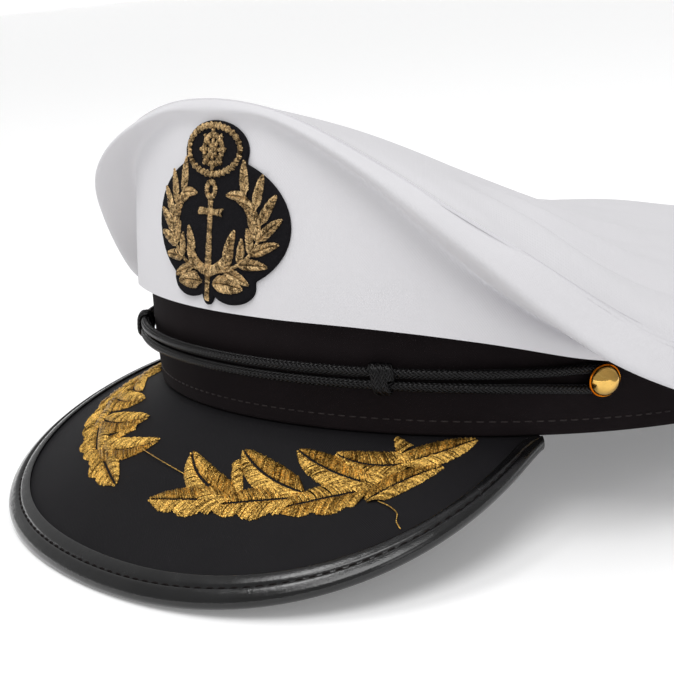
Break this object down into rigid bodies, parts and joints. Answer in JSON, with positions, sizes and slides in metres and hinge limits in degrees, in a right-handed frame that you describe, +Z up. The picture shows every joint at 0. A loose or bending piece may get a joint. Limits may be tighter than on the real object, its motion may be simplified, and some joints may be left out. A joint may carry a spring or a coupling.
{
  "type": "peaked cap",
  "caption": "Soft-crowned peaked cap with black band, sloping visor with embroidered sprays, badge patch, double chin cord and turning side buttons.",
  "frame": {"origin": "middle of the underside of the cap as it rests on a table, on the rear of its band and the rim of its visor", "axes": "+Z up, -Y forward past the visor, +X to the wearer's left"},
  "size_m": [0.2404, 0.2904, 0.1096],
  "materials": {
    "white_cloth": "plain-weave cotton blend",
    "stiff_foam": "foam-backed panel",
    "lining_cloth": "thin satin lining",
    "black_cloth": "matt fine weave",
    "band_board": "pressed board",
    "sweatband_leather": "soft artificial leather",
    "visor_cloth": "fine plain weave",
    "visor_board": "moulded board",
    "visor_lining": "matt artificial leather",
    "binding_leather": "glossy artificial leather",
    "badge_felt": "dense felt",
    "badge_thread": "metallic bullion thread",
    "spray_thread": "metallic satin stitch",
    "cord_braid": "herringbone braid",
    "button_gold": "polished gilt",
    "button_back": "plain",
    "washer_steel": "plain"
  },
  "bodies": {
    "cap": {"crown_top_panel": "white_cloth", "crown_side_panel": "white_cloth", "crown_seam_allowance": "white_cloth", "crown_front_stiffener": "stiff_foam", "lining_side": "lining_cloth", "lining_tip": "lining_cloth", "band_cover": "black_cloth", "band_stiffener": "band_board", "sweatband": "sweatband_leather", "visor_top_cover": "visor_cloth", "visor_board": "visor_board", "visor_under_cover": "visor_lining", "visor_edge_binding": "binding_leather", "badge_patch": "badge_felt", "badge_anchor": "badge_thread", "badge_wheel": "badge_thread", "chin_cord": "cord_braid", "visor_spray_left": "spray_thread", "badge_wreath_left": "badge_thread", "visor_spray_right": "spray_thread", "badge_wreath_right": "badge_thread"},
    "button_left": {"button_dome_left": "button_gold", "button_shank_left": "button_back", "button_washer_left": "washer_steel"},
    "button_right": {"button_dome_right": "button_gold", "button_shank_right": "button_back", "button_washer_right": "washer_steel"},
    "knot_left": {"cord_knot_left": "cord_braid"},
    "knot_right": {"cord_knot_right": "cord_braid"}
  },
  "joints": [
    {"name": "button_left_turn", "type": "hinge", "parent": "cap", "child": "button_left", "pos_m": [0.08135, -0.03754, 0.03624], "axis": [0.9114, -0.408, -0.0534], "continuous": true},
    {"name": "button_right_turn", "type": "hinge", "parent": "cap", "child": "button_right", "pos_m": [-0.08135, -0.03754, 0.03624], "axis": [-0.9114, -0.408, -0.0534], "continuous": true},
    {"name": "knot_left_slide", "type": "hinge", "parent": "cap", "child": "knot_left", "pos_m": [-0.00523, -0.00651, 0.03165], "axis": [0, 0.143, 0.9897], "range_deg": [-6, 6]},
    {"name": "knot_right_slide", "type": "hinge", "parent": "cap", "child": "knot_right", "pos_m": [0.00523, -0.00651, 0.03165], "axis": [0, 0.143, 0.9897], "range_deg": [-6, 6]}
  ]
}
